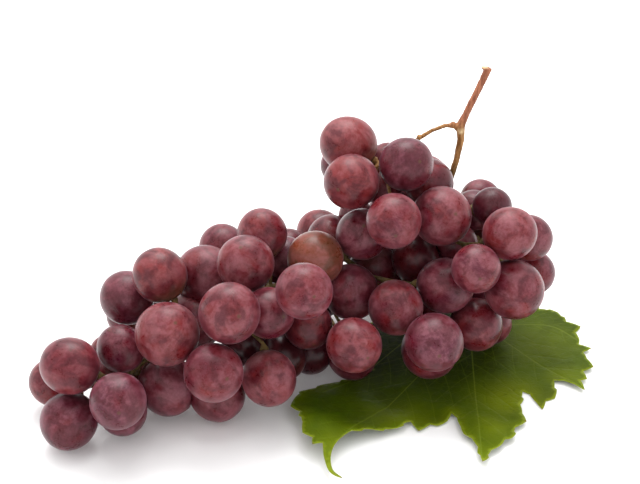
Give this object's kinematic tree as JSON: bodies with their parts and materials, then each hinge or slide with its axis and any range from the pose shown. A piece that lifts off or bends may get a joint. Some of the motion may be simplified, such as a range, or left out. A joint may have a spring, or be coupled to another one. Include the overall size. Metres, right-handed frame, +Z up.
{
  "type": "bunch of grapes",
  "caption": "Cut bunch of round red table grapes lying on its side on a lobed vine leaf, with a bare forked stalk rising at the thick end.",
  "frame": {"origin": "middle of the bottom of the box round the whole object, on the surface it lies on", "axes": "+X along the bunch from its tail to its thick end, +Y to the back, away from the leaf's tip, +Z up"},
  "size_m": [0.2374, 0.1531, 0.1221],
  "materials": {
    "berry_skin": "thin smooth skin, dusky red to purple, mottled, with a pale waxy bloom and a soft gloss",
    "stem_bark": "dry reddish-brown to tan stalk bark, finely ridged, matt",
    "leaf_blade": "deep green leaf blade, lighter veins, soft satin sheen"
  },
  "bodies": {
    "root": {"berry_lower_01": "berry_skin", "berry_lower_02": "berry_skin", "berry_lower_03": "berry_skin", "berry_lower_04": "berry_skin", "berry_lower_05": "berry_skin", "berry_middle_01": "berry_skin", "berry_middle_02": "berry_skin", "berry_middle_03": "berry_skin", "berry_middle_04": "berry_skin", "berry_middle_05": "berry_skin", "berry_middle_06": "berry_skin", "berry_middle_07": "berry_skin", "berry_middle_08": "berry_skin", "berry_middle_10": "berry_skin", "berry_shoulder_01": "berry_skin", "berry_shoulder_02": "berry_skin", "berry_shoulder_03": "berry_skin", "berry_shoulder_04": "berry_skin", "berry_shoulder_05": "berry_skin", "berry_shoulder_06": "berry_skin", "berry_shoulder_07": "berry_skin", "berry_shoulder_08": "berry_skin", "berry_shoulder_09": "berry_skin", "berry_shoulder_10": "berry_skin", "berry_shoulder_11": "berry_skin", "berry_shoulder_12": "berry_skin", "berry_shoulder_13": "berry_skin", "berry_tail_01": "berry_skin", "berry_tail_02": "berry_skin", "berry_tail_03": "berry_skin", "berry_tail_04": "berry_skin", "berry_tail_05": "berry_skin", "berry_tail_06": "berry_skin", "berry_wing_01": "berry_skin", "berry_wing_02": "berry_skin", "berry_wing_03": "berry_skin", "berry_wing_04": "berry_skin", "berry_wing_05": "berry_skin", "leaf": "leaf_blade", "stem": "stem_bark", "triple_berries_back_04": "berry_skin", "triple_berries_shoulder_17": "berry_skin", "triple_berries_tail_07": "berry_skin", "twin_berries_back_01": "berry_skin", "twin_berries_back_02": "berry_skin", "twin_berries_back_03": "berry_skin", "twin_berries_lower_06": "berry_skin", "twin_berries_lower_07": "berry_skin", "twin_berries_lower_08": "berry_skin", "twin_berries_middle_09": "berry_skin", "twin_berries_middle_11": "berry_skin", "twin_berries_middle_12": "berry_skin", "twin_berries_middle_13": "berry_skin", "twin_berries_middle_14": "berry_skin", "twin_berries_middle_15": "berry_skin", "twin_berries_shoulder_14": "berry_skin", "twin_berries_shoulder_15": "berry_skin", "twin_berries_shoulder_16": "berry_skin", "twin_berries_wing_06": "berry_skin", "twin_berries_wing_07": "berry_skin"}
  },
  "joints": []
}
